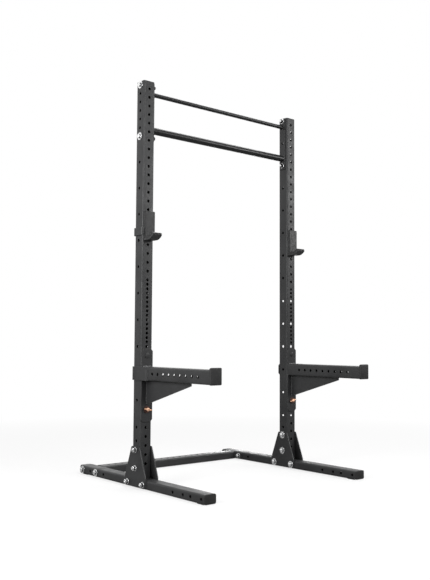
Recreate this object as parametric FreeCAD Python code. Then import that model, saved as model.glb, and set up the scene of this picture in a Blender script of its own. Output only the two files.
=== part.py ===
import FreeCAD, Part
import math
import os

# A squat rack: two drilled posts on feet, a rear crossmember, two pull-up bars,
# a pair of bar cups and a pair of spotter arms.
# Sizes are in millimetres. X runs across the rack, the front faces -Y and the floor is z = 0.
# Every piece is drawn on the right-hand side, x > 0, and the left-hand one is its mirror image.

# posts, feet and the plates that join them
post_spacing = 1168.4
post_length = 2286.0
tube_width = 76.2
tube_wall = 3.05
tube_corner = 9.5
foot_height = 50.8
foot_length = 1219.2
pad_height = 3.175
pad_length = 50.8
pad_inset = 15.0
plate = 6.35

# holes: the front and back rows start above the gussets at a wide pitch, and stand close together
# where the bench height is set; holes of these rows are named by their number, 0 being the lowest
hole_across = 17.5
hole_sides = 8
wide_pitch = 50.8
close_pitch = 25.4
first_front_hole = 82.55
wide_holes_below = 12
close_holes = 17
top_margin = 38.1
fixing_holes = (31, 32)

# holes in the sides: two for the gussets, a spare one, a sparse row, and a group for the bars
first_side_hole = 57.15
gusset_hole_gap = 101.6
spare_hole_gap = 50.8
sparse_row_gap = 76.2
side_pitch = 152.4
bar_group_margin = 19.05
bar_group_holes = 7

# holes in a foot, from either end: two pairs
foot_first_hole = 22.2
foot_pair = 88.9
foot_pair_gap = 63.5

# caps
cap_height = 2.0
foot_cap_length = 6.35
plug_depth = 10.0
plug_gap = 0.3

# gusset plates at the foot of each post
gusset_top = 231.8
gusset_shoulder = 63.5
gusset_half_width = 101.6
gusset_bottom = 7.0
gusset_corner = 9.5
gusset_bolt_reach = 76.2

# rear crossmember and pull-up bars
crossmember_holes = 20
crossmember_flange_lead = 3.175
flange_bevel = 3.0
bar_flange_height = 349.25
bar_flange_width = 50.8
thin_bar_drop = 60.35
thin_bar_across = 26.7
thick_bar_drop = 276.25
thick_bar_across = 42.2
bar_wall = 3.4

# fasteners
bolt_across = 15.9
hex_across = 23.8
hex_sides = 6
head_height = 9.9
nut_height = 13.9
thread_end = 5.0
washer_across = 44.5
nut_washer_across = 33.3
washer_height = 3.2
washer_sides = 12

# hook pins, in the bar cups and in the spotter arms
pin_across = 15.9
pin_play = 0.05
pin_reach = 10.0
pin_head_across = 29.4
pin_head_height = 5.0
pin_sides = 16

# bar cups
cup_hole = 36
cup_width = 63.5
cup_top = 40.5
cup_bottom = 128.5
cup_floor_run = 41.6
cup_bend = 65.0
cup_lip_angle = 54.6
cup_lip_overhang = 4.0
cup_heel = 9.5
liner_back = 15.4
liner_floor = 13.3
liner_corner = 8.0
strap_top = 53.5
strap_height = 45.0
strap_return = 41.0
moving_gap = 0.3
wrap_gap = 2.5

# spotter arms
arm_lock_hole = 6
arm_level_hole = 10
arm_hook_hole = 12
arm_length = 603.25
arm_holes = 9
arm_first_hole = 147.5
bracket_above = 38.1
bracket_below = 69.8
bracket_bevel = 12.7
arm_gusset_reach = 452.0
arm_gusset_end = 16.0
arm_gusset_root = 27.7
wrap_lead = 51.0
wrap_short = 2.8
wrap_bevel = 12.7
end_cap_length = 12.7
end_cap_above = 11.5
end_cap_below = 2.2
end_cap_corner = 4.5
end_cap_top_corner = 8.0

# pull pins
collar_across = 40.0
collar_length = 7.2
handle_width = 56.0
handle_across = 9.5
handle_tilt = 11.0
hub_across = 18.0
hub_length = 12.0

# how far a cutting shape runs past what it cuts, the shortest straight edge between two arcs,
# how nearly an edge must point along an axis to count as lying along it,
# and the bevel that cuts a square corner as deep as an arc does, as a share of the arc's radius
overrun = 5.0
shortest_edge = 0.001
aligned_share = 0.999
arc_bevel_share = 2 - math.sqrt(2)

X = FreeCAD.Vector(1, 0, 0)
Y = FreeCAD.Vector(0, 1, 0)
Z = FreeCAD.Vector(0, 0, 1)

# places that several pieces share
post_x = post_spacing / 2
half_tube = tube_width / 2
post_front = -half_tube
post_inner = post_x - half_tube
post_outer = post_x + half_tube
foot_top = pad_height + foot_height
foot_middle = pad_height + foot_height / 2
post_top = foot_top + post_length
foot_end = foot_length / 2
flange_face = post_inner - plate
bracket_front = post_front - plate
pin_end = post_front + tube_wall + pin_reach
bore_across = pin_across + 2 * pin_play
arm_front = bracket_front - arm_length
crossmember_y = foot_end - foot_first_hole - (foot_pair + foot_pair_gap) / 2
wrap_inner = post_outer + wrap_gap
wrap_outer = wrap_inner + plate
wrap_rear = half_tube + wrap_gap
wrap_back = wrap_rear + plate
front_limit = arm_front - end_cap_length
rear_limit = foot_end + foot_cap_length
centre_shift = -(front_limit + rear_limit) / 2


def point(x, y, z):
    return FreeCAD.Vector(x, y, z)


def span(centre, size):
    return (centre - size / 2, centre + size / 2)


def inset(limits, margin):
    return (limits[0] + margin, limits[1] - margin)


def block(x, y, z):
    """A box between the two limits given on each axis."""
    return Part.makeBox(x[1] - x[0], y[1] - y[0], z[1] - z[0], point(x[0], y[0], z[0]))


def edges_along(shape, axis):
    """The straight edges of a shape that run along an axis."""
    straight = [edge for edge in shape.Edges if edge.Curve.TypeId == "Part::GeomLine"]
    return [edge for edge in straight if abs(edge.tangentAt(edge.FirstParameter).dot(axis)) > aligned_share]


def rounded(shape, axis, radius):
    return shape.makeFillet(radius, edges_along(shape, axis))


def bevelled(shape, axis, size):
    return shape.makeChamfer(size, edges_along(shape, axis))


def tube(x, y, z, axis):
    """A square or oblong tube with rounded corners, open along the axis. Its inner corners are flat."""
    limits = (x, y, z)
    margins = [-overrun if along else tube_wall for along in axis]
    bore = block(*[inset(pair, margin) for pair, margin in zip(limits, margins)])
    corner = (tube_corner - tube_wall) * arc_bevel_share
    return rounded(block(*limits), axis, tube_corner).cut(bevelled(bore, axis, corner))


def plug(x, y, z, axis):
    """The part of a push-in cap that goes down the tube whose outside limits are given."""
    margins = [0 if along else tube_wall + plug_gap for along in axis]
    body = block(*[inset(pair, margin) for pair, margin in zip((x, y, z), margins)])
    return bevelled(body, axis, tube_corner - tube_wall)


def rod(start, way, length, across):
    return Part.makeCylinder(across / 2, length, start, way)


def prism(start, way, length, across, sides):
    """A regular prism, measured across its flats."""
    corner = across / 2 / math.cos(math.pi / sides)
    turns = [math.pi * (2 * side + 1) / sides for side in range(sides)]
    corners = [point(corner * math.cos(turn), corner * math.sin(turn), 0) for turn in turns]
    solid = Part.Face(Part.makePolygon(corners + corners[:1])).extrude(Z * length)
    solid.Placement = FreeCAD.Placement(start, FreeCAD.Rotation(Z, way))
    return solid


def outline(corners):
    """A closed wire through the corners (u, v, radius) of a flat shape, with an arc at each rounded one."""
    spots = [point(u, v, 0) for u, v, radius in corners]
    edges = []
    leaving = []
    arriving = []
    for number, spot in enumerate(spots):
        radius = corners[number][2]
        back = (spots[number - 1] - spot).normalize()
        ahead = (spots[(number + 1) % len(spots)] - spot).normalize()
        half_angle = back.getAngle(ahead) / 2
        reach = radius / math.tan(half_angle)
        arriving.append(spot + back * reach)
        leaving.append(spot + ahead * reach)
        if radius:
            middle = spot + (back + ahead).normalize() * (radius / math.sin(half_angle) - radius)
            edges.append(Part.Arc(arriving[-1], middle, leaving[-1]).toShape())
    for number in range(len(spots)):
        if leaving[number - 1].distanceToPoint(arriving[number]) > shortest_edge:
            edges.append(Part.makeLine(leaving[number - 1], arriving[number]))
    return Part.Wire(Part.__sortEdges__(edges))


def plate_along_x(corners, x):
    """A plate with the outline (y, z, radius), between two values of x."""
    solid = Part.Face(outline(corners)).extrude(Z * (x[1] - x[0]))
    solid.Placement = FreeCAD.Placement(X * x[0], FreeCAD.Rotation(Y, Z, X, "XYZ"))
    return solid


def plate_along_z(corners, z):
    """A plate with the outline (x, y, radius), between two heights."""
    solid = Part.Face(outline(corners)).extrude(Z * (z[1] - z[0]))
    solid.Placement = FreeCAD.Placement(Z * z[0], FreeCAD.Rotation())
    return solid


def drilled(shape, starts, way, depth):
    """Cuts eight-sided holes, which keep the long rows light."""
    return shape.cut([prism(start, way, depth, hole_across, hole_sides) for start in starts])


def pin(start, way, length, across):
    """A small round piece, with flats in place of its curve."""
    return prism(start, way, length, across, pin_sides)


def pin_bored(shape, start, way, depth):
    """Cuts the close bore in which a pin sits or slides."""
    return shape.cut(pin(start, way, depth, bore_across))


def front_heights():
    """The height of each hole of the front and back rows, from the lowest up."""
    below = [foot_top + first_front_hole + wide_pitch * number for number in range(wide_holes_below)]
    close = [below[-1] + wide_pitch + close_pitch * number for number in range(close_holes)]
    lowest = close[-1] + close_pitch
    count = math.ceil((post_top - top_margin - lowest) / wide_pitch)
    return below + close + [lowest + wide_pitch * number for number in range(count)]


def gusset_hole_heights():
    lower = foot_top + first_side_hole
    return [lower, lower + gusset_hole_gap]


def bar_group_heights():
    """The side holes that take the bars' flanges, from the highest down."""
    return [post_top - bar_group_margin - wide_pitch * number for number in range(bar_group_holes)]


def side_heights():
    """The height of each hole of the side rows."""
    spare = gusset_hole_heights()[-1] + spare_hole_gap
    lowest = spare + sparse_row_gap
    count = math.ceil((bar_group_heights()[-1] - wide_pitch - lowest) / side_pitch)
    sparse = [lowest + side_pitch * number for number in range(count)]
    return gusset_hole_heights() + [spare] + sparse + bar_group_heights()


def hole_height(number):
    return front_heights()[number]


cup_z = hole_height(cup_hole)
arm_lock_z = hole_height(arm_lock_hole)
arm_level_z = hole_height(arm_level_hole)
arm_hook_z = hole_height(arm_hook_hole)
arm_bottom = arm_level_z - half_tube
arm_top = arm_level_z + half_tube


def upright():
    """A post. Its stated fixing holes are round in its front wall, and all other holes eight-sided."""
    body = tube(span(post_x, tube_width), span(0, tube_width), (foot_top, post_top), Z)
    depth = half_tube + overrun
    middles = [point(post_x, 0, height) for height in front_heights()]
    plain = [middle for number, middle in enumerate(middles) if number not in fixing_holes]
    body = drilled(body, [point(post_inner - overrun, 0, height) for height in side_heights()], X, 2 * depth)
    body = drilled(body, middles, Y, depth)
    body = drilled(body, plain, -Y, depth)
    return body.cut([rod(middles[number], -Y, depth, hole_across) for number in fixing_holes])


def upright_cap():
    x = span(post_x, tube_width)
    y = span(0, tube_width)
    head = rounded(block(x, y, (post_top, post_top + cap_height)), Z, tube_corner)
    return head.fuse(plug(x, y, (post_top - plug_depth, post_top), Z)).removeSplitter()


def foot_hole_places():
    """The y of the holes in the back half of a foot, from its end inward."""
    outer = [foot_end - foot_first_hole, foot_end - foot_first_hole - foot_pair]
    return outer + [place - foot_pair - foot_pair_gap for place in outer]


def foot():
    body = tube(span(post_x, tube_width), span(0, foot_length), (pad_height, foot_top), Y)
    places = foot_hole_places() + [gusset_bolt_reach]
    starts = [point(post_inner - overrun, way * place, foot_middle) for place in places for way in (-1, 1)]
    return drilled(body, starts, X, tube_width + 2 * overrun)


def foot_cap(end):
    """The push-in cap at the front of a foot, where end is -1, or at the back, where it is 1."""
    x = span(post_x, tube_width)
    z = (pad_height, foot_top)
    outside = end * (foot_end + foot_cap_length)
    head = rounded(block(x, sorted((end * foot_end, outside)), z), Y, tube_corner)
    inside = plug(x, sorted((end * (foot_end - plug_depth), end * foot_end)), z, Y)
    return head.fuse(inside).removeSplitter()


def foot_pads():
    x = inset(span(post_x, tube_width), tube_corner)
    near = foot_end - pad_inset
    pad = block(x, (near - pad_length, near), (0, pad_height))
    return [pad, pad.mirror(point(0, 0, 0), Y)]


def gusset_bolt_places():
    """The (y, z) of the bolts through both gusset plates: two in the post and two in the foot."""
    in_post = [(0, height) for height in gusset_hole_heights()]
    return in_post + [(-gusset_bolt_reach, foot_middle), (gusset_bolt_reach, foot_middle)]


def gusset(x):
    corners = [
        (-half_tube, gusset_top, gusset_corner),
        (half_tube, gusset_top, gusset_corner),
        (gusset_half_width, gusset_shoulder, 0),
        (gusset_half_width, gusset_bottom, gusset_corner),
        (-gusset_half_width, gusset_bottom, gusset_corner),
        (-gusset_half_width, gusset_shoulder, 0),
    ]
    starts = [point(x[0] - overrun, y, z) for y, z in gusset_bolt_places()]
    return drilled(plate_along_x(corners, x), starts, X, plate + 2 * overrun)


def inner_gusset():
    return gusset((flange_face, post_inner))


def outer_gusset():
    return gusset((post_outer, post_outer + plate))


def crossmember_bolt_places():
    """The (y, z) of its bolts: the rearmost hole of each pair in the foot."""
    return [(place, foot_middle) for place in foot_hole_places()[::2]]


def rear_crossmember():
    body = tube((-flange_face, flange_face), span(crossmember_y, tube_width), (pad_height, foot_top), X)
    first = -wide_pitch * (crossmember_holes - 1) / 2
    places = [first + wide_pitch * number for number in range(crossmember_holes)]
    return drilled(body, [point(place, crossmember_y, foot_middle) for place in places], Z, foot_height)


def crossmember_flange():
    y = span(crossmember_y, 2 * (rear_limit - crossmember_y))
    z = inset((pad_height, foot_top), crossmember_flange_lead)
    body = bevelled(block((flange_face, post_inner), y, z), X, flange_bevel)
    starts = [point(flange_face - overrun, y, z) for y, z in crossmember_bolt_places()]
    return drilled(body, starts, X, plate + 2 * overrun)


def bar_bolt_places():
    return [(0, bar_group_heights()[0]), (0, bar_group_heights()[-1])]


def bar_flange():
    z = (post_top - bar_flange_height, post_top)
    body = bevelled(block((flange_face, post_inner), span(0, bar_flange_width), z), X, flange_bevel)
    heights = bar_group_heights()[::bar_group_holes // 2]
    starts = [point(flange_face - overrun, 0, height) for height in heights]
    return drilled(body, starts, X, plate + 2 * overrun)


def pull_up_bar(drop, across):
    """A pipe that runs from flange to flange."""
    start = point(-flange_face, 0, post_top - drop)
    pipe = rod(start, X, 2 * flange_face, across)
    return pipe.cut(rod(start - X * overrun, X, 2 * (flange_face + overrun), across - 2 * bar_wall))


def on_washer(seat, way, height, across):
    """A hexagon, as high as is given, on a washer that lies on the seat."""
    washer = prism(seat, way, washer_height, across, washer_sides)
    return prism(seat, way, washer_height + height, hex_across, hex_sides).fuse(washer)


def bolt(seat, way, grip):
    """A hexagon bolt with its wide washer, from the seat that the washer lies on to past the nut."""
    length = grip + washer_height + nut_height + thread_end
    shank = prism(seat - way * washer_height, way, washer_height + length, bolt_across, hole_sides)
    return shank.fuse(on_washer(seat, -way, head_height, washer_across)).removeSplitter()


def nut(seat, way):
    """A nut with its smaller washer."""
    length = washer_height + nut_height + 2 * overrun
    bore = prism(seat - way * overrun, way, length, bolt_across + 2 * pin_play, hole_sides)
    return on_washer(seat, way, nut_height, nut_washer_across).cut(bore).removeSplitter()


def fasteners(x_from, x_to, places):
    """The bolts and nuts of one side, clamping what lies between two values of x."""
    way = X if x_to > x_from else -X
    grip = abs(x_to - x_from)
    seats = [point(x_from, y, z) for y, z in places]
    return {
        "bolts": [bolt(seat, way, grip) for seat in seats],
        "nuts": [nut(seat + way * grip, way) for seat in seats],
    }


def hook_pin(height, start_y):
    """A pin that runs from start_y back through the front wall of the post."""
    return pin(point(post_x, start_y, height), Y, pin_end - start_y, pin_across)


def cup_curve(offset, overhang):
    """Bend and lip end of the cup's curve, at an offset inward from its underside."""
    angle = math.radians(cup_lip_angle)
    reach = cup_bend * math.tan(angle / 2)
    bend_y = post_front - moving_gap - cup_floor_run - reach
    bottom = cup_z - cup_bottom
    run = reach + overhang
    end_y = bend_y - run * math.cos(angle) + offset * math.sin(angle)
    end_z = bottom + run * math.sin(angle) + offset * math.cos(angle)
    return (bend_y + offset * math.tan(angle / 2), bottom + offset, cup_bend - offset), (end_y, end_z, 0)


def cup_body():
    """The bent steel plate of a cup, with the strap that wraps round the post."""
    back = post_front - moving_gap
    front = back - plate
    top = cup_z + cup_top
    outer_bend, outer_end = cup_curve(0, 0)
    inner_bend, inner_end = cup_curve(plate, 0)
    hook = plate_along_x([
        (back, top, 0), (back, cup_z - cup_bottom, cup_heel), outer_bend, outer_end,
        inner_end, inner_bend, (front, inner_bend[1], cup_heel - plate), (front, top, 0),
    ], span(post_x, cup_width))
    strap = plate_along_z([
        (post_x, front, 0), (wrap_outer, front, tube_corner + plate),
        (wrap_outer, wrap_back, tube_corner + wrap_gap + plate), (wrap_outer - strap_return, wrap_back, 0),
        (wrap_outer - strap_return, wrap_rear, 0), (wrap_inner, wrap_rear, tube_corner + wrap_gap),
        (wrap_inner, back, tube_corner), (post_x, back, 0),
    ], (cup_z - strap_top - strap_height, cup_z - strap_top))
    bore = rod(point(post_x, front - overrun, cup_z), Y, plate + 2 * overrun, bore_across)
    return hook.fuse(strap).removeSplitter().cut(bore)


def cup_liner():
    """The plastic lining of a cup's back, floor and lip."""
    back = post_front - moving_gap - plate - plug_gap
    front = back - liner_back
    top = cup_z + cup_top
    outer_bend, outer_end = cup_curve(plate + plug_gap, cup_lip_overhang)
    inner_bend, inner_end = cup_curve(plate + plug_gap + liner_floor, cup_lip_overhang)
    return plate_along_x([
        (back, top, 0), (back, outer_bend[1], cup_heel - plate), outer_bend,
        outer_end, inner_end[:2] + (liner_corner,), inner_bend,
        (front, inner_bend[1], liner_corner), (front, top, liner_corner),
    ], span(post_x, cup_width))


def cup_hook_pin():
    """The round pin on which a cup hangs and swings."""
    start_y = post_front - moving_gap - plate
    return rod(point(post_x, start_y, cup_z), Y, pin_end - start_y, pin_across)


def arm_tube():
    body = tube(span(post_x, tube_width), (arm_front, bracket_front), (arm_bottom, arm_top), Y)
    places = [-arm_first_hole - wide_pitch * number for number in range(arm_holes)]
    starts = [point(post_inner - overrun, place, arm_level_z) for place in places]
    return drilled(body, starts, X, tube_width + 2 * overrun)


def arm_bracket():
    """The plate that stands on the front of the post and carries the arm, its hook pin and its pull pin."""
    z = (arm_lock_z - bracket_below, arm_hook_z + bracket_above)
    body = bevelled(block(span(post_x, tube_width), (bracket_front, post_front), z), Y, bracket_bevel)
    for height in (arm_hook_z, arm_lock_z):
        body = pin_bored(body, point(post_x, bracket_front - overrun, height), Y, plate + 2 * overrun)
    return body


def arm_wrap():
    """The strap welded to the arm's outer side, bent round the back of the post."""
    lead = bracket_front - wrap_lead
    bevel = plate + wrap_gap
    body = plate_along_z([
        (post_outer, lead, 0), (post_outer, lead - bevel, 0), (wrap_outer, lead, 0),
        (wrap_outer, wrap_back, tube_corner + wrap_gap + plate), (post_inner + wrap_short, wrap_back, 0),
        (post_inner + wrap_short, wrap_rear, 0), (wrap_inner, wrap_rear, tube_corner + wrap_gap),
        (wrap_inner, lead + bevel, 0), (post_outer, lead + bevel, 0),
    ], (arm_bottom, arm_top))
    free_end = [edge for edge in edges_along(body, Y) if edge.BoundBox.XMax < post_x]
    return body.makeChamfer(wrap_bevel, free_end)


def arm_gusset():
    """The web under the arm."""
    root = arm_lock_z + arm_gusset_root
    return plate_along_x([
        (bracket_front, arm_bottom, 0), (-arm_gusset_reach, arm_bottom, 0),
        (-arm_gusset_reach, arm_bottom - arm_gusset_end, 0), (bracket_front, root, 0),
    ], span(post_x, plate))


def arm_end_cap():
    x = span(post_x, tube_width)
    head = plate_along_x([
        (arm_front, arm_bottom - end_cap_below, 0), (front_limit, arm_bottom - end_cap_below, end_cap_corner),
        (front_limit, arm_top + end_cap_above, end_cap_corner),
        (arm_front, arm_top + end_cap_above, end_cap_top_corner),
    ], x)
    return head.fuse(plug(x, (arm_front, arm_front + plug_depth), (arm_bottom, arm_top), Y)).removeSplitter()


def arm_hook_pin():
    head = pin(point(post_x, bracket_front, arm_hook_z), -Y, pin_head_height, pin_head_across)
    return hook_pin(arm_hook_z, bracket_front).fuse(head).removeSplitter()


def pull_pin_collar():
    start = point(post_x, bracket_front - collar_length, arm_lock_z)
    ring = pin(start, Y, collar_length, collar_across)
    return pin_bored(ring, start - Y * overrun, Y, collar_length + 2 * overrun)


def pull_pin():
    """A pin with a round hub and a tilted cross handle, pushed home in its collar."""
    hub_face = bracket_front - collar_length - moving_gap
    hub = pin(point(post_x, hub_face, arm_lock_z), -Y, hub_length, hub_across)
    tilt = math.radians(handle_tilt)
    way = point(math.cos(tilt), 0, math.sin(tilt))
    middle = point(post_x, hub_face - hub_length / 2, arm_lock_z)
    handle = pin(middle - way * (handle_width / 2), way, handle_width, handle_across)
    return hook_pin(arm_lock_z, hub_face).fuse([hub, handle]).removeSplitter()


def mirrored(shape):
    return shape.mirror(point(0, 0, 0), X)


def save(node, solids):
    """Writes one sub-part, moved so that the whole rack is centred front to back."""
    group = Part.makeCompound(solids) if len(solids) > 1 else solids[0].copy()
    group.translate(Y * centre_shift)
    group.exportStep(f"parts/{node}.step")


paired_parts = {
    "upright": upright(),
    "foot": foot(),
    "inner_gusset": inner_gusset(),
    "outer_gusset": outer_gusset(),
    "crossmember_flange": crossmember_flange(),
    "bar_flange": bar_flange(),
    "cup_body": cup_body(),
    "cup_liner": cup_liner(),
    "cup_hook_pin": cup_hook_pin(),
    "arm_tube": arm_tube(),
    "arm_bracket": arm_bracket(),
    "arm_wrap": arm_wrap(),
    "arm_gusset": arm_gusset(),
    "arm_end_cap": arm_end_cap(),
    "pull_pin": pull_pin(),
}

middle_parts = {
    "rear_crossmember": rear_crossmember(),
    "thin_pull_up_bar": pull_up_bar(thin_bar_drop, thin_bar_across),
    "thick_pull_up_bar": pull_up_bar(thick_bar_drop, thick_bar_across),
}

gusset_fasteners = fasteners(flange_face, post_outer + plate, gusset_bolt_places())
crossmember_fasteners = fasteners(post_outer, flange_face, crossmember_bolt_places())
bar_fasteners = fasteners(post_outer, flange_face, bar_bolt_places())

# like pieces on both sides that are kept together as one sub-part
shared_parts = {
    "upright_caps": [upright_cap()],
    "foot_caps": [foot_cap(-1), foot_cap(1)],
    "foot_pads": foot_pads(),
    "arm_hook_pins": [arm_hook_pin()],
    "pull_pin_collars": [pull_pin_collar()],
    "gusset_bolts": gusset_fasteners["bolts"],
    "gusset_nuts": gusset_fasteners["nuts"],
    "crossmember_bolts": crossmember_fasteners["bolts"],
    "crossmember_nuts": crossmember_fasteners["nuts"],
    "bar_bolts": bar_fasteners["bolts"],
    "bar_nuts": bar_fasteners["nuts"],
}

os.makedirs("parts", exist_ok=True)
for name, solid in paired_parts.items():
    save(f"right_{name}", [solid])
    save(f"left_{name}", [mirrored(solid)])
for name, solid in middle_parts.items():
    save(name, [solid])
for name, solids in shared_parts.items():
    save(name, solids + [mirrored(solid) for solid in solids])
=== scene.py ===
"""The squat rack's looks: finishes, fine small pieces, round holes, weld beads, light and camera."""

import math

import bmesh
import bpy
from mathutils import Matrix, Vector


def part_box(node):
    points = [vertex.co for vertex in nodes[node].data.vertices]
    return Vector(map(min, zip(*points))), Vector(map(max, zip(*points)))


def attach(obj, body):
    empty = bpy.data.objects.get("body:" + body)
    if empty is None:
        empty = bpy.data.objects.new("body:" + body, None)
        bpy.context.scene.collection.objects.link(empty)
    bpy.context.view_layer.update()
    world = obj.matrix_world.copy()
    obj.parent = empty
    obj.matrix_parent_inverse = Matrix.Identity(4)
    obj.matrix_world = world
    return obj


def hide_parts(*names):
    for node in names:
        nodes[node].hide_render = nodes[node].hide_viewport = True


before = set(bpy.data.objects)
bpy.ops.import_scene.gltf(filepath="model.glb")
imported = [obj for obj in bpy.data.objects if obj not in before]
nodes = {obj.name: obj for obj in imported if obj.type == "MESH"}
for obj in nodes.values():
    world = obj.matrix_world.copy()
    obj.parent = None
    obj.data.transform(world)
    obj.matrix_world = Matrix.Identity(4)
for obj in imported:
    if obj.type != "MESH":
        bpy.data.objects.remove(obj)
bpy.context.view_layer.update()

# lengths are in metres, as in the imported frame; axes are given by number or as directions
MM = 0.001
X, Y, Z = range(3)
x_axis = Vector((1, 0, 0))
y_axis = Vector((0, 1, 0))
z_axis = Vector((0, 0, 1))
full_turn = 2 * math.pi
quarter_turn = full_turn / 4
both_sides = ("left", "right")

# the photograph's camera
camera_place = Vector((-3.13273, -3.67587, 0.82872))
camera_yaw = 0.695269
camera_pitch = 0.065938
camera_roll = 0.005355
camera_focal_pixels = 776.73
photo_long_side_pixels = 580
sensor_width_mm = 36

# fasteners: a cone as wide at the top as a share of the hexagon cuts its corners back,
# and each fastener is turned further than the one before it
head_height = 9.9 * MM
washer_height = 3.2 * MM
washer_bevel = 0.7 * MM
hex_across = 23.8 * MM
hex_chamfer_share = 0.93
hex_chamfer_slope = 0.55
thread_across = 15.9 * MM
thread_pitch = 2.31 * MM
thread_depth = 1.1 * MM
threaded_length = 30 * MM
rings_per_turn = 6
fastener_turn = math.radians(37)

# pins, and the domed heads of the spotter arms' hook pins
pin_across = 15.9 * MM
pin_bevel = 1 * MM
pin_head_height = 5 * MM
head_dome = 1.6 * MM

# the pull pins' collars, hubs and wings; a wing's end is rounded through points given by their distances
# from its axis and from its tip, as shares of half its thickness there
collar_bevel = 1.2 * MM
hub_length = 12 * MM
hub_across = 19.4 * MM
hub_bulge_across = 20 * MM
wing_middle_across = 9.5 * MM
wing_end_across = 6 * MM
wing_tilt = math.radians(11)
wing_end_round = ((1, 1), (0.87, 0.5), (0.5, 0.13), (1 / 6, 0))

# the rounding of the moulded caps; an arm cap's corners, seen from its side, start at the lower front one
# and end at the upper front one
arm_cap_round = 8 * MM
arm_cap_corners = (6.5 * MM, 0.5 * MM, 6 * MM, 6.5 * MM)
foot_cap_round = 1.6 * MM
upright_cap_round = 0.8 * MM
cap_round_steps = 3
round_profile = 0.5
flat_angle = math.radians(1)

# weld beads, which swell once per pitch, and whose middles lie a small offset off the surfaces they join
bead_radius = 2.6 * MM
top_bead_radius = 5 * MM
bead_pitch = 4.5 * MM
bead_step = 1.1 * MM
bead_sides = 8
bead_ripple_share = 0.35
bead_offset = 0.8 * MM

# how finely pieces are rounded, from which angle an edge stays sharp, and how near points are joined
round_sides = 48
sharp_angle = math.radians(35)
joining_distance = 0.01 * MM

# square and oblong tubes, the size of their holes, and the holes' pitches in mm
tube_corner = 9.5 * MM
tube_wall = 3.05 * MM
corner_steps = 6
hole_radius = 8.75 * MM
hole_steps = 28
wide_pitch = 50.8
close_pitch = 25.4
foot_pitch = 88.9

# each tube's rows of holes: the axis that a row is drilled along, its first hole and its pitch in mm, and
# the count; along X, Y and Z a place is measured from the rack's middle, the posts' middle and the floor
post_rows = (
    (Y, 136.525, wide_pitch, 12), (Y, 746.125, close_pitch, 17), (Y, 1177.925, wide_pitch, 23),
    (X, 111.125, 2 * wide_pitch, 2), (X, 263.525, wide_pitch, 1), (X, 339.725, 3 * wide_pitch, 11),
    (X, 2016.125, wide_pitch, 7),
)
foot_rows = (
    (X, -587.4, foot_pitch, 2), (X, -435, foot_pitch, 2), (X, -76.2, 3 * wide_pitch, 2),
    (X, 346.1, foot_pitch, 2), (X, 498.5, foot_pitch, 2),
)
arm_rows = ((X, -553.9, wide_pitch, 9),)
crossmember_rows = ((Z, -482.6, wide_pitch, 20),)
posts_middle = sum(corner.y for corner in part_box("left_upright")) / 2
row_starts = (0, posts_middle, 0)

# the kinds of noise in a finish, each with its detail and roughness
noise_kinds = {"cloud": (4, 0.5), "grain": (3, 0.6), "scuff": (5, 0.5), "smear": (5, 0.65)}

# where a finish fades from one look to the other: between which values of its noise, and for edges and ends
# between which cosines of the surface's direction, with edges found by a few samples
patch_limits = (0.75, 1.25)
scuff_limits = (0.45, 0.62)
smear_limits = (0.35, 0.65)
edge_limits = (0.99, 0.8)
end_limits = (0.5, 0.9)
edge_samples = 6

# what gloss and diffuse light see of the studio, whose backdrop lies in one direction, and of its floor
backdrop_direction = Vector((0.15, 0.99, 0))
backdrop_limits = (-0.6, 0.6)
gloss_front = 0.35
gloss_back = 1
ambient_strength = 0.14
floor_radius = 12
floor_clear_radius = 1.3
floor_white_radius = 4
floor_white_share = 0.7
floor_paper = 1
floor_gloss = 0.38
floor_bounce = 0.16

# soft lights: name, place, aim, size and power
soft_lights = (
    ("key", (-3.9, -0.8, 1.9), (0, 0, 1.0), (1.8, 1.8), 112),
    ("top", (0.9, 0.7, 4.4), (0, 0, 0.8), (2.8, 2.8), 96),
    ("front", (-0.6, -4.2, 3.0), (-0.3, 0, 1.0), (2.2, 2.2), 100),
    ("right_front", (3.5, -3.5, 2.7), (0, 0, 1.6), (2.4, 1.2), 90),
    ("rear", (4.2, 4.3, 0.6), (0.5, 0.6, 0.1), (1.2, 0.6), 18),
)


def add_node(tree, kind, inputs, **settings):
    """Adds a node, sets its settings, and sets or links its inputs."""
    node = tree.nodes.new(kind)
    for name, value in settings.items():
        setattr(node, name, value)
    for name, value in inputs.items():
        connect(tree, node.inputs[name], value)
    return node


def connect(tree, socket, value):
    """Links a socket to another, or sets it."""
    if isinstance(value, bpy.types.NodeSocket):
        tree.links.new(value, socket)
    else:
        socket.default_value = value


def noise(tree, place, look, kind):
    """One kind of a look's noise, with features about as large as the look says."""
    detail, roughness = noise_kinds[kind]
    inputs = {"Vector": place, "Scale": 1 / look[f"{kind}_size"], "Detail": detail, "Roughness": roughness}
    return add_node(tree, "ShaderNodeTexNoise", inputs).outputs["Fac"]


def ranged(tree, value, limits, low, high):
    """Maps what lies between the limits to low..high, and clamps."""
    start, end = limits
    inputs = {"Value": value, "From Min": start, "From Max": end, "To Min": low, "To Max": high}
    return add_node(tree, "ShaderNodeMapRange", inputs).outputs["Result"]


def combined(tree, operation, first, second):
    """A number from two numbers."""
    return add_node(tree, "ShaderNodeMath", {0: first, 1: second}, operation=operation).outputs["Value"]


def dot_product(tree, first, second):
    """How nearly two directions agree."""
    inputs = {0: first, 1: second}
    return add_node(tree, "ShaderNodeVectorMath", inputs, operation="DOT_PRODUCT").outputs["Value"]


def mixed(tree, factor, first, second):
    """A colour between two colours."""
    node = add_node(tree, "ShaderNodeMix", {"Factor": factor}, data_type="RGBA")
    colour_inputs = [socket for socket in node.inputs if socket.type == "RGBA"]
    connect(tree, colour_inputs[0], first)
    connect(tree, colour_inputs[1], second)
    return next(socket for socket in node.outputs if socket.type == "RGBA")


def object_place(tree):
    """Places on a piece, in the piece's own measure."""
    return add_node(tree, "ShaderNodeTexCoord", {}).outputs["Object"]


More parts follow.
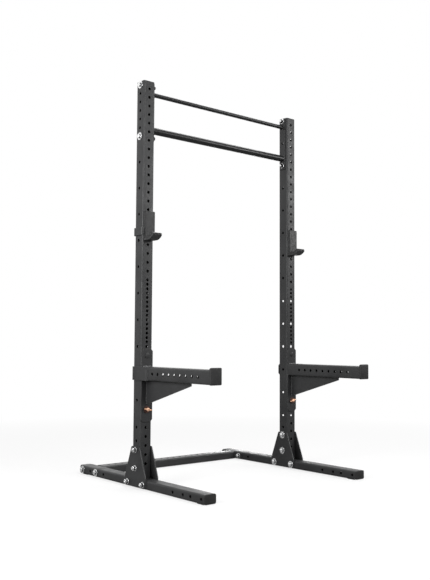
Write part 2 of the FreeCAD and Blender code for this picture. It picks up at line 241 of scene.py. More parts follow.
def rounded_normal(tree, reach):
    """The surface's direction as if its edges had a small radius."""
    return add_node(tree, "ShaderNodeBevel", {"Radius": reach}, samples=edge_samples).outputs["Normal"]


def plain_normal(tree):
    """The surface's own direction."""
    return add_node(tree, "ShaderNodeNewGeometry", {}).outputs["Normal"]


def edge_mask(tree, reach):
    """Near 1 along the edges of a piece, 0 on its flat faces."""
    likeness = dot_product(tree, rounded_normal(tree, reach), plain_normal(tree))
    return ranged(tree, likeness, edge_limits, 0, 1)


def end_mask(tree):
    """1 on the faces that look along X, such as the ends of bolts, and 0 on their flanks."""
    along = add_node(tree, "ShaderNodeSeparateXYZ", {"Vector": plain_normal(tree)}).outputs["X"]
    return ranged(tree, combined(tree, "ABSOLUTE", along, 0), end_limits, 0, 1)


def bumped(tree, height, depth, strength, normal):
    """A surface's direction with small bumps."""
    inputs = {"Height": height, "Distance": depth, "Strength": strength, "Normal": normal}
    return add_node(tree, "ShaderNodeBump", inputs).outputs["Normal"]


def grey(value):
    """A grey as a colour."""
    return (value, value, value, 1)


def finish_colour(tree, look, place, grain):
    """Clouds and grain between two colours, a painted shade on the flanks where the look has them, and
    lighter edges that are partly wear and partly a painted highlight.
    """
    patches = combined(tree, "ADD", noise(tree, place, look, "cloud"), grain)
    patches = ranged(tree, patches, patch_limits, 0, 1)
    colour = mixed(tree, patches, look["dark"], look["light"])
    # painted shade: where the look has a flank colour, faces that don't look along X, such as the flanks of
    # bolts and nuts, are painted darker
    if "painted_shade_flank" in look:
        colour = mixed(tree, end_mask(tree), look["painted_shade_flank"], colour)
    # the lighter edges are partly wear and partly a painted highlight where light would catch them
    scuffs = ranged(tree, noise(tree, place, look, "scuff"), scuff_limits, look["least_wear_and_highlight"], 1)
    edge_wear_and_highlight = combined(tree, "MULTIPLY", edge_mask(tree, look["edge"]), scuffs)
    edge_wear_and_highlight = combined(tree, "MULTIPLY", edge_wear_and_highlight, look["wear_and_highlight_share"])
    return mixed(tree, edge_wear_and_highlight, colour, look["edge_wear_and_highlight"])


def finish(name, look):
    """A procedural finish: a colour that varies, fine grain, rounded edges and an uneven gloss."""
    material = bpy.data.materials.new(name)
    material.use_nodes = True
    tree = material.node_tree
    shader = tree.nodes["Principled BSDF"]
    place = object_place(tree)
    grain = noise(tree, place, look, "grain")
    rough = ranged(tree, noise(tree, place, look, "smear"), smear_limits, look["smooth"], look["rough"])
    normal = bumped(tree, grain, look["grain_depth"], look["bump"], rounded_normal(tree, look["edge"]))
    connect(tree, shader.inputs["Base Color"], finish_colour(tree, look, place, grain))
    connect(tree, shader.inputs["Roughness"], rough)
    connect(tree, shader.inputs["Normal"], normal)
    shader.inputs["Metallic"].default_value = look["metallic"]
    shader.inputs["Specular IOR Level"].default_value = look["specular"]
    return material


looks = {
    "powder_coat": {
        # the lighter edge colour is partly wear and partly a painted highlight along edges and hole rims
        "dark": (0.024, 0.0243, 0.025, 1), "light": (0.042, 0.0425, 0.0435, 1), "edge_wear_and_highlight": grey(0.32),
        "cloud_size": 0.16, "grain_size": 1.1 * MM, "grain_depth": 0.35 * MM, "bump": 0.35,
        "scuff_size": 14 * MM, "edge": 1.6 * MM, "wear_and_highlight_share": 0.75, "least_wear_and_highlight": 0.4,
        "smear_size": 0.09, "smooth": 0.34, "rough": 0.5, "metallic": 0, "specular": 0.32,
    },
    "collar_coat": {
        "dark": (0.033, 0.014, 0.0105, 1), "light": (0.085, 0.038, 0.028, 1), "edge_wear_and_highlight": (0.24, 0.11, 0.07, 1),
        "cloud_size": 0.02, "grain_size": 0.8 * MM, "grain_depth": 0.2 * MM, "bump": 0.3,
        "scuff_size": 6 * MM, "edge": 1 * MM, "wear_and_highlight_share": 0.6, "least_wear_and_highlight": 0.2,
        "smear_size": 0.02, "smooth": 0.3, "rough": 0.45, "metallic": 0, "specular": 0.4,
    },
    # painted shade: the inside of the tubes is painted near black, standing for the shade within them
    "tube_inside": {
        "dark": (0.002, 0.002, 0.002, 1), "light": (0.006, 0.0058, 0.0055, 1), "edge_wear_and_highlight": grey(0.01),
        "cloud_size": 0.05, "grain_size": 1.5 * MM, "grain_depth": 0.3 * MM, "bump": 0.3,
        "scuff_size": 10 * MM, "edge": 1 * MM, "wear_and_highlight_share": 0, "least_wear_and_highlight": 0,
        "smear_size": 0.05, "smooth": 0.7, "rough": 0.9, "metallic": 0, "specular": 0.15,
    },
    # painted highlight: the beads on the arms' tops are painted much lighter than the coat, so that they
    # show a glint
    "top_bead_painted_highlight": {
        "dark": (0.08, 0.081, 0.082, 1), "light": (0.18, 0.181, 0.183, 1), "edge_wear_and_highlight": grey(0.3),
        "cloud_size": 0.012, "grain_size": 1.1 * MM, "grain_depth": 0.3 * MM, "bump": 0.3,
        "scuff_size": 8 * MM, "edge": 1 * MM, "wear_and_highlight_share": 0.6, "least_wear_and_highlight": 0.4,
        "smear_size": 0.03, "smooth": 0.15, "rough": 0.3, "metallic": 0, "specular": 0.6,
    },
    "bar_coat": {
        "dark": (0.006, 0.0061, 0.0064, 1), "light": (0.012, 0.0122, 0.0125, 1), "edge_wear_and_highlight": grey(0.07),
        "cloud_size": 0.11, "grain_size": 0.9 * MM, "grain_depth": 0.2 * MM, "bump": 0.22,
        "scuff_size": 22 * MM, "edge": 1.2 * MM, "wear_and_highlight_share": 0.4, "least_wear_and_highlight": 0,
        "smear_size": 0.06, "smooth": 0.26, "rough": 0.4, "metallic": 0, "specular": 0.34,
    },
    "cap_plastic": {
        "dark": (0.011, 0.011, 0.0114, 1), "light": (0.02, 0.02, 0.0204, 1), "edge_wear_and_highlight": grey(0.07),
        "cloud_size": 0.05, "grain_size": 0.6 * MM, "grain_depth": 0.15 * MM, "bump": 0.3,
        "scuff_size": 9 * MM, "edge": 1.8 * MM, "wear_and_highlight_share": 0.4, "least_wear_and_highlight": 0.1,
        "smear_size": 0.03, "smooth": 0.42, "rough": 0.58, "metallic": 0, "specular": 0.4,
    },
    "liner_plastic": {
        "dark": (0.010, 0.010, 0.0105, 1), "light": (0.018, 0.018, 0.0185, 1), "edge_wear_and_highlight": grey(0.07),
        "cloud_size": 0.04, "grain_size": 0.8 * MM, "grain_depth": 0.12 * MM, "bump": 0.2,
        "scuff_size": 6 * MM, "edge": 1.5 * MM, "wear_and_highlight_share": 0.6, "least_wear_and_highlight": 0.1,
        "smear_size": 0.02, "smooth": 0.34, "rough": 0.55, "metallic": 0, "specular": 0.4,
    },
    "pad_rubber": {
        "dark": (0.009, 0.009, 0.009, 1), "light": (0.02, 0.0195, 0.019, 1), "edge_wear_and_highlight": grey(0.045),
        "cloud_size": 0.02, "grain_size": 0.7 * MM, "grain_depth": 0.25 * MM, "bump": 0.5,
        "scuff_size": 5 * MM, "edge": 0.6 * MM, "wear_and_highlight_share": 0.5, "least_wear_and_highlight": 0,
        "smear_size": 0.02, "smooth": 0.7, "rough": 0.9, "metallic": 0, "specular": 0.3,
    },
    "zinc": {
        "dark": (0.88, 0.885, 0.89, 1), "light": (0.99, 0.993, 0.995, 1), "edge_wear_and_highlight": grey(0.95),
        # painted shade: the flanks of bolts and nuts are painted dark, as if they faced a dim room
        "painted_shade_flank": (0.2, 0.203, 0.207, 1),
        "cloud_size": 0.012, "grain_size": 0.5 * MM, "grain_depth": 0.06 * MM, "bump": 0.2,
        "scuff_size": 4 * MM, "edge": 2.2 * MM, "wear_and_highlight_share": 0, "least_wear_and_highlight": 0,
        "smear_size": 0.008, "smooth": 0.12, "rough": 0.24, "metallic": 0.85, "specular": 0.5,
    },
    "bronze": {
        "dark": (0.9, 0.46, 0.27, 1), "light": (1.0, 0.65, 0.45, 1), "edge_wear_and_highlight": (1.0, 0.76, 0.6, 1),
        "cloud_size": 0.012, "grain_size": 0.5 * MM, "grain_depth": 0.06 * MM, "bump": 0.2,
        "scuff_size": 4 * MM, "edge": 0.6 * MM, "wear_and_highlight_share": 0.6, "least_wear_and_highlight": 0.1,
        "smear_size": 0.01, "smooth": 0.3, "rough": 0.45, "metallic": 0.5, "specular": 0.5,
    },
}
looks["tube_coat"] = {**looks["powder_coat"], "wear_and_highlight_share": 0.15, "least_wear_and_highlight": 0}
looks["glossy_tube_coat"] = {**looks["tube_coat"], "smooth": 0.28, "rough": 0.42, "specular": 0.5}
# painted shade: the bar flanges' zinc nuts are painted near black, as if they lay in shade
looks["painted_shade_zinc"] = {**looks["zinc"], "dark": grey(0.035), "light": grey(0.08), "painted_shade_flank": grey(0.03)}


def dress_frame():
    """Gives every CAD node the finish of its own material slot, and the bar flanges the tubes' finish."""
    for node in nodes.values():
        for slot in node.material_slots:
            slot.material = finishes[slot.material.name.split(".")[0]]
    for side in both_sides:
        nodes[f"{side}_bar_flange"].material_slots[0].material = finishes["tube_coat"]


def add_skin(mesh, rings, closed_ends):
    """Joins rings of as many vertices each, with a face over each end where wanted."""
    for below, above in zip(rings, rings[1:]):
        for one in range(len(below)):
            other = (one + 1) % len(below)
            mesh.faces.new((below[one], below[other], above[other], above[one]))
    if closed_ends:
        mesh.faces.new(rings[0])
        mesh.faces.new(rings[-1])


def rings_mesh(rings, closed_ends=True):
    """A mesh through rings of places."""
    mesh = bmesh.new()
    add_skin(mesh, [[mesh.verts.new(place) for place in ring] for ring in rings], closed_ends)
    return mesh


def turned_ring(radius_at, height_at, count=round_sides):
    """A ring about local Z whose radius and height may change with the angle."""
    ring = []
    for step in range(count):
        angle = full_turn * step / count
        radius = radius_at(angle)
        ring.append(Vector((radius * math.cos(angle), radius * math.sin(angle), height_at(angle))))
    return ring


def circle(radius, height=0, count=round_sides):
    """A level circle about local Z."""
    return turned_ring(lambda angle: radius, lambda angle: height, count)


def lathe(profile):
    """A turned solid from (radius, height) pairs."""
    return rings_mesh([circle(radius, height) for radius, height in profile])


def hex_radius(angle):
    """Distance from a hexagon's middle to its side, in a direction."""
    sector = full_turn / 6
    return hex_across / 2 / math.cos((angle + sector / 2) % sector - sector / 2)


def hexagon(bottom, top):
    """A hex head or nut whose corners are cut back by a cone at the top."""
    top_radius = hex_across / 2 * hex_chamfer_share

    def cut_height(angle):
        return top - (hex_radius(angle) - top_radius) * hex_chamfer_slope

    return rings_mesh([
        turned_ring(hex_radius, lambda angle: bottom),
        turned_ring(hex_radius, cut_height),
        circle(top_radius, top),
    ])


def washer(radius, bottom):
    """A flat washer with bevelled edges."""
    top = bottom + washer_height
    return lathe([
        (radius - washer_bevel, bottom), (radius, bottom + washer_bevel),
        (radius, top - washer_bevel), (radius - washer_bevel, top),
    ])


def thread(bottom, top):
    """A shank's threaded end: rings whose radius follows the thread's turn."""
    count = round((top - bottom) / thread_pitch * rings_per_turn)
    rings = []
    for step in range(count + 1):
        height = bottom + (top - bottom) * step / count

        def radius_at(angle):
            phase = (height / thread_pitch + angle / full_turn) % 1
            return thread_across / 2 - thread_depth * (1 - abs(2 * phase - 1))

        rings.append(turned_ring(radius_at, lambda angle: height))
    return rings_mesh(rings)


def merged(meshes):
    """One bmesh from several, each of which is freed."""
    whole = bmesh.new()
    for mesh in meshes:
        scratch = bpy.data.meshes.new("scratch")
        mesh.to_mesh(scratch)
        mesh.free()
        whole.from_mesh(scratch)
        bpy.data.meshes.remove(scratch)
    return whole


def moved(mesh, matrix):
    """The same mesh after a move or a turn."""
    mesh.transform(matrix)
    return mesh


def facing(direction, place):
    """The matrix that turns local Z to a direction and moves it to a place."""
    return Matrix.Translation(place) @ direction.to_track_quat("Z", "Y").to_matrix().to_4x4()


def make_piece(name, mesh, slot, body="frame", replaced=(), look_names=()):
    """A shaded object from a bmesh, riding on a body, in the place of CAD nodes where they are given."""
    bmesh.ops.recalc_face_normals(mesh, faces=mesh.faces)
    data = bpy.data.meshes.new(name)
    mesh.to_mesh(data)
    mesh.free()
    data.shade_smooth()
    data.set_sharp_from_angle(angle=sharp_angle)
    for look_name in look_names or [slot]:
        data.materials.append(finishes[look_name])
    piece = bpy.data.objects.new(name, data)
    bpy.context.scene.collection.objects.link(piece)
    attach(piece, body)
    if replaced:
        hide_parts(*replaced)


def extent(places):
    """The lowest and the highest corner of some places."""
    return [Vector([limit(place[axis] for place in places) for axis in (X, Y, Z)]) for limit in (min, max)]


def front_middle(low, high):
    """The middle of a box's front face."""
    return Vector(((low.x + high.x) / 2, low.y, (low.z + high.z) / 2))


def node_mesh(node_name):
    """A copy of a node's mesh, its faces joined along their edges."""
    mesh = bmesh.new()
    mesh.from_mesh(nodes[node_name].data)
    bmesh.ops.remove_doubles(mesh, verts=mesh.verts, dist=joining_distance)
    return mesh


def solids_of(node_name):
    """The lowest and the highest corner of each separate solid in a node, in the order of its vertices."""
    mesh = node_mesh(node_name)
    seen = set()
    boxes = []
    for first in mesh.verts:
        if first in seen:
            continue
        seen.add(first)
        reached = [first]
        solid = []
        while reached:
            vertex = reached.pop()
            solid.append(vertex.co.copy())
            others = {edge.other_vert(vertex) for edge in vertex.link_edges} - seen
            seen |= others
            reached += others
        boxes.append(extent(solid))
    mesh.free()
    return boxes


def bolt_mesh(length, washer_radius):
    """A bolt with its washer, its head's top at local Z 0 and its thread's end at -length."""
    under_head = -head_height
    thread_start = threaded_length - length
    radius = thread_across / 2
    return merged([
        hexagon(under_head, 0),
        washer(washer_radius, under_head - washer_height),
        lathe([(radius, thread_start), (radius, under_head)]),
        thread(-length, thread_start),
    ])


def nut_mesh(length, washer_radius):
    """A nut with its washer, its free face at local Z 0. The nut has the piece's second finish."""
    nut = hexagon(washer_height - length, 0)
    for face in nut.faces:
        face.material_index = 1
    return merged([nut, washer(washer_radius, -length)])


def fine_fasteners(node_name, make_mesh, outward, look_names=()):
    """Finer bolts or nuts, whose free ends point outward (1) or towards the rack's middle (-1)."""
    meshes = []
    for number, (low, high) in enumerate(solids_of(node_name)):
        middle = (low + high) / 2
        length = high.x - low.x
        direction = x_axis * outward * math.copysign(1, middle.x)
        turn = Matrix.Rotation(number * fastener_turn, 4, "Z")
        turned = facing(direction, middle + direction * length / 2) @ turn
        meshes.append(moved(make_mesh(length, (high.z - low.z) / 2), turned))
    make_piece(f"fine_{node_name}", merged(meshes), "zinc", replaced=[node_name], look_names=look_names)


def fine_bolts_and_nuts():
    """The gussets' bolts have their heads towards the rack's middle, and the others away from it."""
    fine_fasteners("gusset_bolts", bolt_mesh, -1)
    fine_fasteners("gusset_nuts", nut_mesh, 1, ["zinc", "zinc"])
    # the bar's nuts take a near-black zinc finish that is a painted shade
    for group, nut_look in (("crossmember", "zinc"), ("bar", "painted_shade_zinc")):
        fine_fasteners(f"{group}_bolts", bolt_mesh, 1)
        fine_fasteners(f"{group}_nuts", nut_mesh, -1, ["zinc", nut_look])


def arm_hook_pin_mesh(length, head_radius):
    """A pin whose head is slightly domed, the head's top at local Z 0."""
    radius = pin_across / 2
    under_head = -pin_head_height
    return lathe([
        (radius - pin_bevel, -length), (radius, pin_bevel - length), (radius, under_head),
        (head_radius - pin_bevel / 2, under_head), (head_radius, under_head + pin_bevel),
        (head_radius, -head_dome), (head_radius - head_dome, -head_dome / 3), (head_radius / 3, 0),
    ])


def collar_mesh(length, radius):
    """A short round collar with a bevelled front, in which the pin's bore shows as a groove."""
    return lathe([
        (radius, -length), (radius, -collar_bevel), (radius - collar_bevel, 0),
        (hub_across / 2, 0), (hub_across / 2 - collar_bevel, -collar_bevel),
    ])


def hub_mesh(length):
    """A pin with a bulging hub, the hub's front at local Z 0."""
    radius = pin_across / 2
    hub = hub_across / 2
    return lathe([
        (radius - pin_bevel, -length), (radius, pin_bevel - length), (radius, -hub_length),
        (hub - pin_bevel, -hub_length), (hub, pin_bevel - hub_length),
        (hub_bulge_across / 2, -hub_length / 2), (hub, -2 * pin_bevel),
        (hub - 2 * pin_bevel, -pin_bevel / 2), (hub / 2, 0),
    ])


def wings_mesh(span):
    """Two tapered wings with rounded ends, along local Z, their middle at the origin."""
    thin = wing_end_across / 2
    outer_half = [(wing_middle_across / 2, hub_across / 4)]
    outer_half += [(thin * from_axis, span / 2 - thin * from_tip) for from_axis, from_tip in wing_end_round]
    return lathe([(radius, -height) for radius, height in reversed(outer_half)] + outer_half)


def pull_pin_mesh(length, wing_span):
    """A pull pin, its hub's front at local Z 0 and its wings along local X."""
    wings = moved(wings_mesh(wing_span), facing(x_axis, Vector((0, 0, -hub_length / 2))))
    return merged([hub_mesh(length), wings])


def fine_round_pieces(node_name, make_mesh, look_name):
    """Finer pins or collars, each with its free end to the front, in the place of a CAD node."""
    meshes = []
    for low, high in solids_of(node_name):
        mesh = make_mesh(high.y - low.y, (high.x - low.x) / 2)
        meshes.append(moved(mesh, facing(-y_axis, front_middle(low, high))))
    mesh = merged(meshes)
    make_piece(f"fine_{node_name}", mesh, "powder_coat", replaced=[node_name], look_names=[look_name])


def fine_pull_pin(side):
    """A finer pull pin. Its wings are tilted, in a mirrored way on the right."""
    node_name = f"{side}_pull_pin"
    low, high = solids_of(node_name)[0]
    span = (high.x - low.x) / math.cos(wing_tilt) - wing_middle_across * math.tan(wing_tilt)
    tilt = Matrix.Rotation(wing_tilt if side == "left" else -wing_tilt, 4, "Y")
    forward = Matrix.Rotation(quarter_turn, 4, "X")
    turned = Matrix.Translation(front_middle(low, high)) @ tilt @ forward
    mesh = moved(pull_pin_mesh(high.y - low.y, span), turned)
    make_piece(f"fine_{node_name}", mesh, "bronze", f"{side}_pin", [node_name])


def fine_pins():
    """The spotter arms' hook pins, their pull pins and the pull pins' collars."""
    fine_round_pieces("arm_hook_pins", arm_hook_pin_mesh, "powder_coat")
    fine_round_pieces("pull_pin_collars", collar_mesh, "collar_coat")
    for side in both_sides:
        fine_pull_pin(side)


def tube_profile(half_sizes, corner):
    """The corner points of a tube's outline, one list for each rounded corner, turning anticlockwise."""
    arcs = []
    for number, (first_way, second_way) in enumerate(((1, -1), (1, 1), (-1, 1), (-1, -1))):
        centre = Vector((first_way * (half_sizes[0] - corner), second_way * (half_sizes[1] - corner)))
        start = quarter_turn * (number - 1)
        angles = [start + quarter_turn * step / corner_steps for step in range(corner_steps + 1)]
        arcs.append([centre + corner * Vector((math.cos(angle), math.sin(angle))) for angle in angles])
    return arcs


def arm_cap_outline(low, high, inset):
    """An arm cap's outline from the side, as (y, z) points, drawn in by an inset except at the back."""
    points = []
    ways = ((-1, -1), (1, -1), (1, 1), (-1, 1))
    for number, ((way_y, way_z), corner) in enumerate(zip(ways, arm_cap_corners)):
        reach = max(corner - inset, joining_distance)
        edge_y = high.y if way_y > 0 else low.y + inset
        edge_z = high.z - inset if way_z > 0 else low.z + inset
        for step in range(corner_steps + 1):
            angle = quarter_turn * (2 + number + step / corner_steps)
            y = edge_y + reach * (math.cos(angle) - way_y)
            z = edge_z + reach * (math.sin(angle) - way_z)
            points.append((y, z))
    return points


def arm_cap_stations(low_x, high_x):
    """Across an arm's cap, (x, inset) pairs that round its plate at both sides."""
    rounding = []
    for step in range(corner_steps + 1):
        angle = quarter_turn * step / corner_steps
        rounding.append((arm_cap_round * (1 - math.cos(angle)), arm_cap_round * (1 - math.sin(angle))))
    left_half = [(low_x + depth, inset) for depth, inset in rounding]
    return left_half + [(high_x - depth, inset) for depth, inset in reversed(rounding)]


def arm_cap_plug(tube_low, tube_high, back_y):
    """The part of an arm's cap that goes down the tube."""
    middle = (tube_low + tube_high) / 2
    half_sizes = [(tube_high[axis] - tube_low[axis]) / 2 - tube_wall for axis in (X, Z)]
    outline = [spot for arc in tube_profile(half_sizes, tube_corner - tube_wall) for spot in arc]
    return rings_mesh([
        [Vector((middle.x + spot.x, y, middle.z + spot.y)) for spot in outline]
        for y in (tube_low.y, back_y)
    ])


def arm_cap(side):
    """An arm's moulded end cap: a plate rounded all round, and the plug behind it."""
    node_name = f"{side}_arm_end_cap"
    low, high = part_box(node_name)
    tube_low, tube_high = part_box(f"{side}_arm_tube")
    plate_high = Vector((high.x, tube_low.y, high.z))
    plate = rings_mesh([
        [Vector((x, y, z)) for y, z in arm_cap_outline(low, plate_high, inset)]
        for x, inset in arm_cap_stations(low.x, high.x)
    ])
    plug = arm_cap_plug(tube_low, tube_high, high.y)
    make_piece(f"fine_{node_name}", merged([plate, plug]), "cap_plastic", replaced=[node_name])


def rounded_caps(node_name, reach):
    """Moulded caps with softly rounded edges, in the place of a CAD node."""
    mesh = node_mesh(node_name)
    bmesh.ops.dissolve_limit(mesh, angle_limit=flat_angle, verts=mesh.verts, edges=mesh.edges)
    edges = [edge for edge in mesh.edges if edge.calc_face_angle(0) > sharp_angle]
    bmesh.ops.bevel(
        mesh, geom=edges, offset=reach, segments=cap_round_steps, profile=round_profile,
        affect="EDGES", clamp_overlap=True,
    )
    make_piece(f"fine_{node_name}", mesh, "cap_plastic", replaced=[node_name])


def fine_caps():
    """All moulded caps: the arms', the feet's and the posts'."""
    for side in both_sides:
        arm_cap(side)
    rounded_caps("foot_caps", foot_cap_round)
    rounded_caps("upright_caps", upright_cap_round)


def hole_places(rows, drilled_axis, tube_axis):
    """Where along a tube the middles of the holes lie that are drilled along one axis."""
    places = []
    for row_axis, first, pitch, count in rows:
        if row_axis == drilled_axis:
            places += [(first + pitch * number) * MM + row_starts[tube_axis] for number in range(count)]
    return places


def fill_tube_side(mesh, ends, side, circles):
    """Covers one flat side of a tube, from one rounded corner to the next, round its holes."""
    following = (side + 1) % 4
    border = [ends[0][side][-1], ends[0][following][0], ends[1][following][0], ends[1][side][-1]]
    pairs = [pair for loop in [border] + circles for pair in zip(loop, loop[1:] + loop[:1])]
    edges = [mesh.edges.get(pair) or mesh.edges.new(pair) for pair in pairs]
    bmesh.ops.triangle_fill(mesh, use_beauty=True, use_dissolve=False, edges=edges)


def add_tube_shell(mesh, box, axis, rows, depth):
    """Adds a tube's skin at a depth below its outside. Returns the loops round its ends and its holes.

    Sides 0 and 1 face along the two axes across the tube, and sides 2 and 3 the opposite ways.
    """
    low, high = box
    across = [number for number in (X, Y, Z) if number != axis]
    middle = (low + high) / 2
    half_sizes = [(high[number] - low[number]) / 2 - depth for number in across]

    def vertex(first, second, along):
        place = middle.copy()
        place[across[0]] += first
        place[across[1]] += second
        place[axis] = along
        return mesh.verts.new(place)

    arcs = tube_profile(half_sizes, tube_corner - depth)
    ends = [[[vertex(*spot, along) for spot in arc] for arc in arcs] for along in (low[axis], high[axis])]
    for near_arc, far_arc in zip(*ends):
        for one in range(corner_steps):
            mesh.faces.new((near_arc[one], near_arc[one + 1], far_arc[one + 1], far_arc[one]))
    loops = [[spot for arc in end for spot in arc] for end in ends]
    for side in range(4):
        drilled = side % 2
        face_at = half_sizes[drilled] if side < 2 else -half_sizes[drilled]
        circles = [
            [vertex(*((spot.x, face_at) if drilled else (face_at, spot.x)), along + spot.y)
             for spot in circle(hole_radius, count=hole_steps)]
            for along in hole_places(rows, across[drilled], axis)
        ]
        fill_tube_side(mesh, ends, side, circles)
        loops += circles
    return loops


def drilled_tube(node_name, axis, rows, look_name="tube_coat"):
    """A tube with rounded corners, round holes and an inside painted near black as a painted shade, in the
    place of a CAD node.
    """
    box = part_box(node_name)
    mesh = bmesh.new()
    outer_loops = add_tube_shell(mesh, box, axis, rows, 0)
    outside = set(mesh.verts)
    inner_loops = add_tube_shell(mesh, box, axis, rows, tube_wall)
    # the inner faces take the near-black finish, a painted shade
    for face in mesh.faces:
        if outside.isdisjoint(face.verts):
            face.material_index = 1
    for outer, inner in zip(outer_loops, inner_loops):
        add_skin(mesh, [outer, inner], closed_ends=False)
    look_names = [look_name, "tube_inside"]
    make_piece(f"fine_{node_name}", mesh, "powder_coat", replaced=[node_name], look_names=look_names)


def fine_tubes():
    """All drilled tubes. The crossmember between the feet is glossier than the others."""
    for side in both_sides:
        drilled_tube(f"{side}_upright", Z, post_rows)
        drilled_tube(f"{side}_foot", Y, foot_rows)
        drilled_tube(f"{side}_arm_tube", Y, arm_rows)
    drilled_tube("rear_crossmember", X, crossmember_rows, "glossy_tube_coat")


def bead_path(corners, closed):
    """Places a step apart along the straight runs between corners."""
    path = []
    ends = corners[1:] + corners[:1] if closed else corners[1:]
    for start, end in zip(corners, ends):
        count = max(1, round((end - start).length / bead_step))
        path += [start.lerp(end, step / count) for step in range(count)]
    return path if closed else path + [corners[-1]]


def bead(corners, plane_normal, closed=False, radius=bead_radius):
    """A weld bead along a path that lies in a plane: a rope that swells once per ripple."""
    path = bead_path(corners, closed)
    angles = [full_turn * step / bead_sides for step in range(bead_sides)]
    rings = []
    for number, place in enumerate(path):
        behind = path[number - 1] if number or closed else place
        ahead = path[(number + 1) % len(path)] if number + 1 < len(path) or closed else place
        sideways = (ahead - behind).normalized().cross(plane_normal)
        ripple = number * bead_step / bead_pitch % 1
        reach = radius * (1 - bead_ripple_share * ripple)
        rings.append([
            place + (sideways * math.cos(angle) + plane_normal * math.sin(angle)) * reach
            for angle in angles
        ])
    if closed:
        return rings_mesh(rings + rings[:1], closed_ends=False)
    return rings_mesh(rings)


def straight_bead(start, end, plane_normal, radius=bead_radius):
    """A bead along one straight run."""
    return bead([Vector(start), Vector(end)], plane_normal, radius=radius)


def bar_beads(node_name):
    """Rings round both ends of a pull-up bar."""
    low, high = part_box(node_name)
    middle = (low + high) / 2
    spots = circle((high.z - low.z) / 2 + bead_offset)
    meshes = []
    for x in (low.x + bead_offset, high.x - bead_offset):
        ring = [Vector((x, middle.y + spot.x, middle.z + spot.y)) for spot in spots]
        meshes.append(bead(ring, x_axis, closed=True))
    return meshes


def crossmember_beads():
    """Upright beads at the four corners where the crossmember meets its flanges."""
    low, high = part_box("rear_crossmember")
    meshes = []
    for x in (low.x + bead_offset, high.x - bead_offset):
        for y in (low.y - bead_offset, high.y + bead_offset):
            meshes.append(straight_bead((x, y, low.z + tube_corner), (x, y, high.z - tube_corner), y_axis))
    return meshes


def arm_beads(side):
    """The beads along an arm's web, and those on top, at the bracket and at the wrap."""
    tube_low, tube_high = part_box(f"{side}_arm_tube")
    web_low, web_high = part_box(f"{side}_arm_gusset")
    wrap_low, wrap_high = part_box(f"{side}_arm_wrap")
    over, under = tube_high.z + bead_offset, web_high.z - bead_offset
    back, root = tube_high.y - bead_offset, web_high.y - bead_offset
    left, right = tube_low.x + tube_corner, tube_high.x - tube_corner
    outside = tube_high.x if side == "right" else tube_low.x
    top = wrap_high.z - tube_corner / 3
    top_beads = [
        straight_bead((left, back, over), (right, back, over), z_axis, top_bead_radius),
        straight_bead((outside, wrap_low.y, top), (outside, tube_high.y, top), z_axis),
    ]
    web_beads = []
    for x in (web_low.x - bead_offset, web_high.x + bead_offset):
        web_beads.append(straight_bead((x, web_low.y, under), (x, web_high.y, under), z_axis))
        web_beads.append(straight_bead((x, root, web_low.z + bead_radius), (x, root, under), x_axis))
    return web_beads, top_beads


def weld_beads():
    """All beads as two pieces; the beads on the arms' tops are painted much lighter than the coat, a
    painted highlight.
    """
    meshes = crossmember_beads() + bar_beads("thin_pull_up_bar") + bar_beads("thick_pull_up_bar")
    top_meshes = []
    for side in both_sides:
        web_beads, top_beads = arm_beads(side)
        meshes += web_beads
        top_meshes += top_beads
    make_piece("weld_beads", merged(meshes), "powder_coat")
    make_piece("top_weld_beads_painted_highlight", merged(top_meshes), "powder_coat", look_names=["top_bead_painted_highlight"])


def make_camera():
    """The photograph's camera: its direction from yaw and pitch, then rolled about that direction."""
    forward = Vector((
        math.sin(camera_yaw) * math.cos(camera_pitch),
        math.cos(camera_yaw) * math.cos(camera_pitch),
        math.sin(camera_pitch),
    ))
    level = Vector((math.cos(camera_yaw), -math.sin(camera_yaw), 0))
    upright = level.cross(forward)
    right = level * math.cos(camera_roll) + upright * math.sin(camera_roll)
    up = upright * math.cos(camera_roll) - level * math.sin(camera_roll)
    data = bpy.data.cameras.new("camera")
    data.sensor_width = sensor_width_mm
    data.lens = camera_focal_pixels / photo_long_side_pixels * sensor_width_mm
    camera = bpy.data.objects.new("camera", data)
    turn = Matrix((right, up, -forward)).transposed().to_4x4()
    camera.matrix_world = Matrix.Translation(camera_place) @ turn
    bpy.context.scene.collection.objects.link(camera)
    bpy.context.scene.camera = camera


def light_path(tree, name):
    """1 for rays of one kind, 0 for the others."""
    return add_node(tree, "ShaderNodeLightPath", {}).outputs[name]


def make_world():
    """White for the camera. Gloss sees a white backdrop behind the rack and a dimmer room before it."""
    world = bpy.data.worlds.new("studio")
    bpy.context.scene.world = world
    world.use_nodes = True
    tree = world.node_tree
    direction = add_node(tree, "ShaderNodeTexCoord", {}).outputs["Generated"]
    toward = dot_product(tree, direction, backdrop_direction)
    glossy = light_path(tree, "Is Glossy Ray")
    backdrop = ranged(tree, toward, backdrop_limits, gloss_front, gloss_back)
    gloss = combined(tree, "MULTIPLY", backdrop, glossy)
    ambient = ranged(tree, glossy, (0, 1), ambient_strength, 0)
    unseen = combined(tree, "ADD", gloss, ambient)
    strength = combined(tree, "MAXIMUM", unseen, light_path(tree, "Is Camera Ray"))
    background = tree.nodes["Background"]
    connect(tree, background.inputs["Color"], grey(1))
    connect(tree, background.inputs["Strength"], strength)


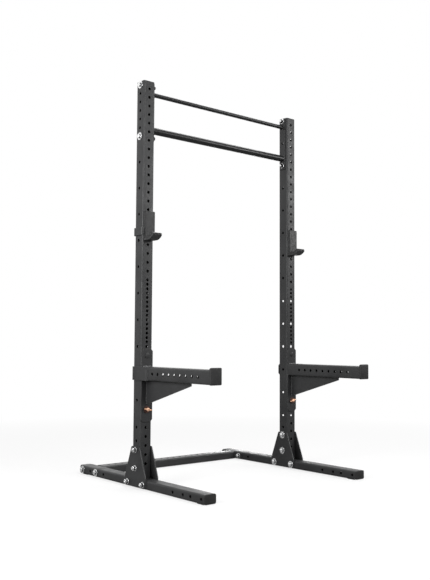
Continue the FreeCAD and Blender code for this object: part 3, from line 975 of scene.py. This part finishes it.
def floor_finish():
    """Pale paper that keeps the rack's shadow and turns white further out."""
    material = bpy.data.materials.new("studio_floor")
    material.use_nodes = True
    tree = material.node_tree
    tree.nodes.remove(tree.nodes["Principled BSDF"])
    place = object_place(tree)
    distance = add_node(tree, "ShaderNodeVectorMath", {0: place}, operation="LENGTH").outputs["Value"]
    seen = light_path(tree, "Is Camera Ray")
    white_share = ranged(tree, distance, (floor_clear_radius, floor_white_radius), floor_white_share, 1)
    white_share = combined(tree, "MULTIPLY", white_share, seen)
    unseen_colour = mixed(tree, light_path(tree, "Is Glossy Ray"), grey(floor_bounce), grey(floor_gloss))
    paper_colour = mixed(tree, seen, unseen_colour, grey(floor_paper))
    paper = add_node(tree, "ShaderNodeBsdfDiffuse", {"Color": paper_colour}).outputs["BSDF"]
    white = add_node(tree, "ShaderNodeEmission", {"Color": grey(1), "Strength": 1}).outputs["Emission"]
    shown = add_node(tree, "ShaderNodeMixShader", {0: white_share, 1: paper, 2: white})
    connect(tree, tree.nodes["Material Output"].inputs["Surface"], shown.outputs["Shader"])
    return material


def make_floor():
    """A wide disc under the rack."""
    mesh = bmesh.new()
    bmesh.ops.create_circle(mesh, cap_ends=True, radius=floor_radius, segments=2 * round_sides)
    data = bpy.data.meshes.new("floor")
    mesh.to_mesh(data)
    mesh.free()
    data.materials.append(floor_finish())
    floor = bpy.data.objects.new("floor", data)
    bpy.context.scene.collection.objects.link(floor)


def soft_light(name, place, target, size, power):
    """A rectangular lamp that the camera doesn't see."""
    data = bpy.data.lights.new(name, "AREA")
    data.shape = "RECTANGLE"
    data.size, data.size_y = size
    data.energy = power
    light = bpy.data.objects.new(name, data)
    light.location = place
    light.visible_camera = False
    light.rotation_mode = "QUATERNION"
    light.rotation_quaternion = (Vector(target) - Vector(place)).to_track_quat("-Z", "Y")
    bpy.context.scene.collection.objects.link(light)


def make_lights():
    """All soft lights, from their table."""
    for light in soft_lights:
        soft_light(*light)


finishes = {name: finish(name + "_finish", look) for name, look in looks.items()}
dress_frame()
fine_bolts_and_nuts()
fine_pins()
fine_caps()
fine_tubes()
weld_beads()
make_camera()
make_world()
make_floor()
make_lights()
bpy.context.scene.view_settings.view_transform = "Standard"
